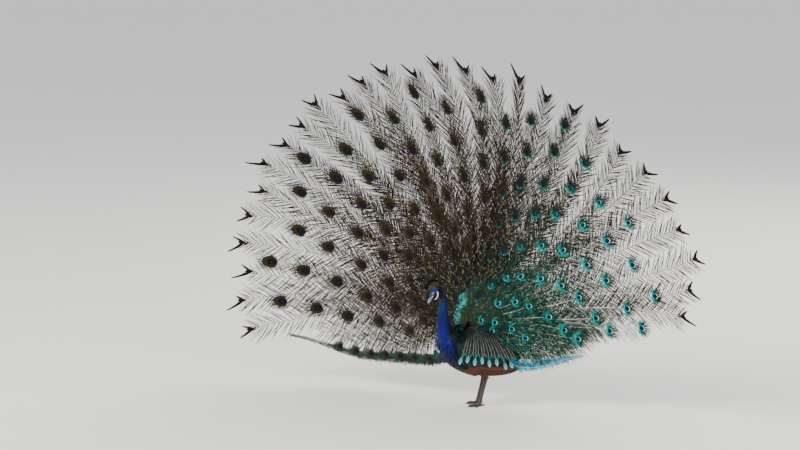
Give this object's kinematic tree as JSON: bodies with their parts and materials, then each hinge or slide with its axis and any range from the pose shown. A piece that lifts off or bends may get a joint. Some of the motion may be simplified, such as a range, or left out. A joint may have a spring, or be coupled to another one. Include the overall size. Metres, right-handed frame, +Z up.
{
  "type": "peacock",
  "caption": "Still, life-size peacock standing with its train raised in a full fan, head and crest turned to its right.",
  "frame": {"origin": "on the floor under the middle of the object's box", "axes": "+Z up; the open front of the fan faces -Y; the fan spreads along X, with the bird's left towards +X"},
  "size_m": [3.0122, 0.5934, 1.9096],
  "materials": {
    "neck_plumage": "iridescent cobalt-blue feathers, teal towards the head",
    "body_plumage": "dark blue-black feathers with a blue-green gloss",
    "crest_plumage": "bare stalks with glossy blue-green tips",
    "train_plumage": "bronze-green loose barbs, eyes of copper, turquoise and dark blue",
    "tail_plumage": "stiff dull grey-brown quills",
    "wing_plumage": "chestnut quills under dark blue-black coverts",
    "leg_skin": "grey-brown scaled skin",
    "bill_horn": "greyish-pink horn",
    "eye": "dark brown, wet gloss"
  },
  "bodies": {
    "root": {"head": "neck_plumage", "bill_upper": "bill_horn", "bill_lower": "bill_horn", "eye_left": "eye", "eye_right": "eye", "crest": "crest_plumage", "neck": "neck_plumage", "torso": "body_plumage", "train_left": "train_plumage", "train_top": "train_plumage", "train_right": "train_plumage", "tail": "tail_plumage", "wing_left": "wing_plumage", "wing_right": "wing_plumage", "thigh_left": "wing_plumage", "thigh_right": "wing_plumage", "shank_left": "leg_skin", "shank_right": "leg_skin", "foot_left": "leg_skin", "foot_right": "leg_skin"}
  },
  "joints": []
}
